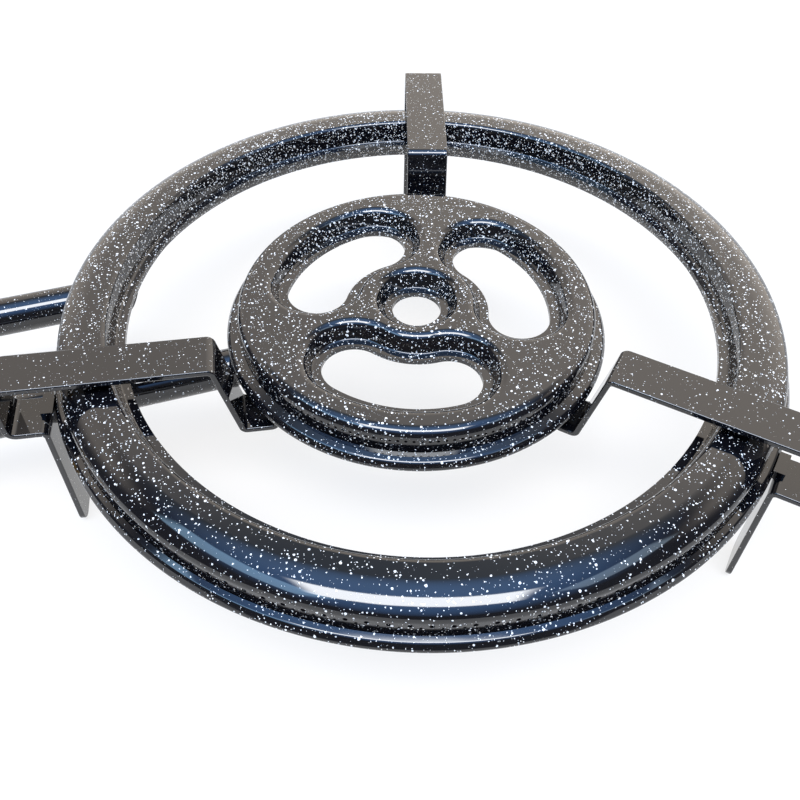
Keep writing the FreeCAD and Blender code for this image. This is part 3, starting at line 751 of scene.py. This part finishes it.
def kidney_wall(bm, line, bends, turn):
    """Drawn wall round one kidney opening."""
    start = turn - kidney_half_angle
    sweep = 2 * kidney_half_angle
    far = kidney_path_r + kidney_half_width
    near = kidney_path_r - kidney_half_width
    ends = [(kidney_half_width + s, z) for s, z in line]
    turns = [(disc_centre, [(far + s, z) for s, z in line], start, sweep, kidney_side_steps),
             (disc_centre, [(near - s, z) for s, z in line], start, sweep, kidney_side_steps),
             (spot(kidney_path_r, start), ends, start + 180, 180, kidney_end_steps),
             (spot(kidney_path_r, start + sweep), ends, start + sweep, 180, kidney_end_steps)]
    for centre, points, first, angle, steps in turns:
        spin_line(bm, bent_line(bm, points, bends), centre, first, angle, steps)


def fill_web(bm, height):
    """Fill the flat web between the open edges that lie at one height."""
    bmesh.ops.remove_doubles(bm, verts=bm.verts, dist=touching)
    rims = [e for e in bm.edges if len(e.link_faces) == 1
            and all(abs(v.co.z - height * MM) < touching for v in e.verts)]
    bmesh.ops.triangle_fill(bm, use_beauty=True, edges=rims)


kidney_length = 2 * (math.radians(kidney_half_angle) * kidney_path_r + kidney_half_width)
print("kidney openings", len(kidney_turns), "each", round(kidney_length), "mm long on its path")

# %% Disc top
disc_ports = 156
disc_port_row = (disc_foot + 13.4, 0.8)
disc_band = (disc_foot + 11.8, disc_foot + 14.7)
disc_columns, disc_rows = 4, 2
disc_group = 12
disc_sectors = disc_ports // disc_group
disc_steps = disc_ports * disc_columns
web_inner, web_outer = 26.3, disc_wall_r - 6.1

bm = bmesh.new()
for turn in kidney_turns:
    kidney_wall(bm, kidney_line(disc_lip, disc_crown), [lip_bend, disc_draw_bend], turn)
funnel_corner = disc_lip_r + lip_width - sheet / 2
funnel_line = [(disc_lip_r, disc_lip), (funnel_corner, disc_lip),
               (funnel_corner + funnel_lean, disc_crown), (web_inner, disc_crown)]
funnel = bent_line(bm, funnel_line, [lip_bend, disc_draw_bend])
spin_line(bm, funnel, disc_centre, 0, 360, funnel_steps, funnel_sectors)
shoulder_line = [(web_outer, disc_crown), (disc_wall_r, disc_crown), (disc_wall_r, disc_band[1])]
shoulder = bent_line(bm, shoulder_line, [disc_shoulder_r])
spin_line(bm, shoulder, disc_centre, 0, 360, disc_steps, disc_sectors)
skirt = bent_line(bm, [(disc_wall_r, disc_band[0]), (disc_wall_r, disc_foot)], [])
spin_line(bm, skirt, disc_centre, 0, 360, disc_steps, disc_sectors)
port_wall(bm, disc_wall_r * MM, disc_band[0] * MM, disc_band[1] * MM,
          [(disc_port_row[0] * MM, disc_port_row[1] * MM)], disc_ports, disc_group, disc_columns, disc_rows,
          disc_centre)
fill_web(bm, disc_crown)
outward(bm, 1)
piece("disc_crown", bm, enamel, ["disc_top"], wall=sheet)

# %% Disc pan
under_web_inner, under_web_margin = 26.0, 8.0
rim_steps, rim_sectors = 240, 12
bm = bmesh.new()
disc_pan_lip = disc_pan_high.z / MM - sheet
for turn in kidney_turns:
    kidney_wall(bm, kidney_line(disc_pan_lip, pan_height), [lip_bend, draw_bend], turn)
under = pan_line(disc_lip_r, disc_wall_r, disc_rim_r, disc_pan_lip, funnel_lean, pan_height)
rim_line = under[:4] + [(disc_rim_r - under_web_margin, pan_height)]
middle_line = [(under_web_inner, pan_height)] + under[4:]
spin_line(bm, bent_line(bm, rim_line, pan_bends[:3]), disc_centre, 0, 360, rim_steps, rim_sectors)
spin_line(bm, bent_line(bm, middle_line, pan_bends[3:]), disc_centre, 0, 360, funnel_steps, funnel_sectors)
fill_web(bm, pan_height)
outward(bm, -1)
piece("disc_under_pan", bm, enamel, ["disc_pan"], wall=sheet)

# %% [markdown]
# ## Arms
# Each arm is one flat strip, bent on a press brake: a tab under the disc, a step that dips under the
# disc's rim, a riser, the flat run that carries the pan, a loop outside the ring and the leg. The side
# view of the strip is one bent line, which is drawn out to the strip's width. The leg's end has its
# corners rounded.

# %% Arm sizes
strip_width = 25.0
strip_thickness = 3.0
strip_bends = [4.5, 1.5, 1.5, 4.5, 6.5, 6.5, 1.5]
strip_edge = 0.55
toe_r, toe_steps = 8.0, 8
bend_place_r = 120.0
foot_drop = 11.0
step_start = 25.0
step_length = 4.0
inner_tab_end = 46.0
outer_tab = 22.0
outer_tab_rise = 2.5
leg_clearance = 0.2
support_height = cad_high.z / MM
# For each arm: the turn of its bend place round the ring, the turn of the strip there, and how far
# the riser's foot and top lie inside that place.
arm_bends = {"left_arm": (191.0, -20.5, 10.5, 0.0), "right_arm": (-52.0, 5.5, 17.0, 7.0),
             "back_arm": (69.5, 3.0, 11.0, 0.0)}
print("arms", len(arm_bends), "with the pan at", round(support_height, 1), "mm")


# %% Arms
def leg_place(yaw):
    """Distance from an arm's inner bend to its leg, which stands just clear of the ring's rim."""
    aside = max(0.0, abs(bend_place_r * math.sin(yaw)) - strip_width / 2)
    return math.sqrt((ring_rim_r + leg_clearance) ** 2 - aside ** 2) - bend_place_r * math.cos(yaw)


def side_view(leg, foot_back, top_back):
    """Corners of a strip seen from the side, from the tab under the disc to the leg's end."""
    tab_under = pan_height + outer_tab_rise - strip_thickness
    foot = pan_height - foot_drop
    loop = leg + outer_tab
    leg_face = leg + strip_thickness
    return [(-inner_tab_end, pan_height), (-step_start - step_length, pan_height), (-step_start, foot),
            (-foot_back, foot), (-top_back, support_height), (loop, support_height), (loop, tab_under),
            (leg_face, tab_under), (leg_face, 0)]


for arm, (turn, yaw, foot_back, top_back) in arm_bends.items():
    bm = bmesh.new()
    line = bent_line(bm, side_view(leg_place(math.radians(yaw)), foot_back, top_back), strip_bends)
    bmesh.ops.translate(bm, verts=line, vec=(0, -strip_width / 2 * MM, 0))
    drawn = bmesh.ops.extrude_edge_only(bm, edges=list(bm.edges))
    across = [g for g in drawn["geom"] if isinstance(g, bmesh.types.BMVert)]
    bmesh.ops.translate(bm, verts=across, vec=(0, strip_width * MM, 0))
    toes = [v for v in bm.verts if v.co.z < touching]
    bmesh.ops.bevel(bm, geom=toes, offset=toe_r * MM, offset_type="OFFSET", segments=toe_steps, profile=0.5,
                    affect="VERTICES", material=-1)
    bmesh.ops.recalc_face_normals(bm, faces=bm.faces)
    crown = max(bm.faces, key=lambda f: f.calc_center_median().z)
    if crown.normal.z < 0:
        bmesh.ops.reverse_faces(bm, faces=bm.faces)
    swing = Matrix.Rotation(math.radians(turn + yaw), 4, "Z")
    bend = Matrix.Rotation(math.radians(turn), 4, "Z") @ Vector((bend_place_r * MM, 0, 0))
    bmesh.ops.transform(bm, matrix=Matrix.Translation(bend) @ swing, verts=bm.verts)
    piece(arm + "_strip", bm, strip_enamel, [arm], wall=strip_thickness, edge=strip_edge)


# %% [markdown]
# ## Gas train and fixings
# Tubes, taps, pipe and fasteners keep the shape of their solids. Turned and milled edges are never
# quite sharp, so a merged copy of each solid gets a narrow bevel that catches the light. The plug and
# the knob of a tap ride on the tap, because they turn; the rest rides on the burner.

# %% Gas train and fixings
flat_angle = math.radians(1)


def dressed(node, material, edge, body="burner"):
    """Copy of a solid with its faces joined and its edges broken."""
    bm = bmesh.new()
    bm.from_mesh(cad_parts[node].data)
    bmesh.ops.remove_doubles(bm, verts=bm.verts, dist=touching)
    bmesh.ops.dissolve_limit(bm, angle_limit=flat_angle, use_dissolve_boundaries=False, verts=bm.verts,
                             edges=bm.edges)
    return piece(node + "_dressed", bm, material, [node], edge=edge, body=body)


dressed("rim_welds", strip_enamel, edge=0.6)
for burner in ("ring", "disc"):
    tap = burner + "_tap"
    dressed(burner + "_mixing_tube", strip_enamel, edge=0.4)
    dressed(burner + "_tube_bush", zinc, edge=0.4)
    dressed(burner + "_injector", brass, edge=0.25)
    dressed(tap + "_body", brass, edge=0.5)
    dressed(tap + "_plug", brass, edge=0.25, body=tap)
    dressed(tap + "_spring", zinc, edge=0.1)
    dressed(tap + "_bonnet", brass, edge=0.4)
    dressed(burner + "_knob", knob_black, edge=0.8, body=tap)
for node in ("disc_studs", "disc_washers", "disc_nuts", "bonnet_screws", "gas_pipe"):
    dressed(node, zinc, edge=0.3)
for node in ("pipe_end_plug", "inlet_bush", "hose_nozzle"):
    dressed(node, brass, edge=0.4)
for node in ("tap_seals", "inlet_seal"):
    dressed(node, fibre, edge=0.2)
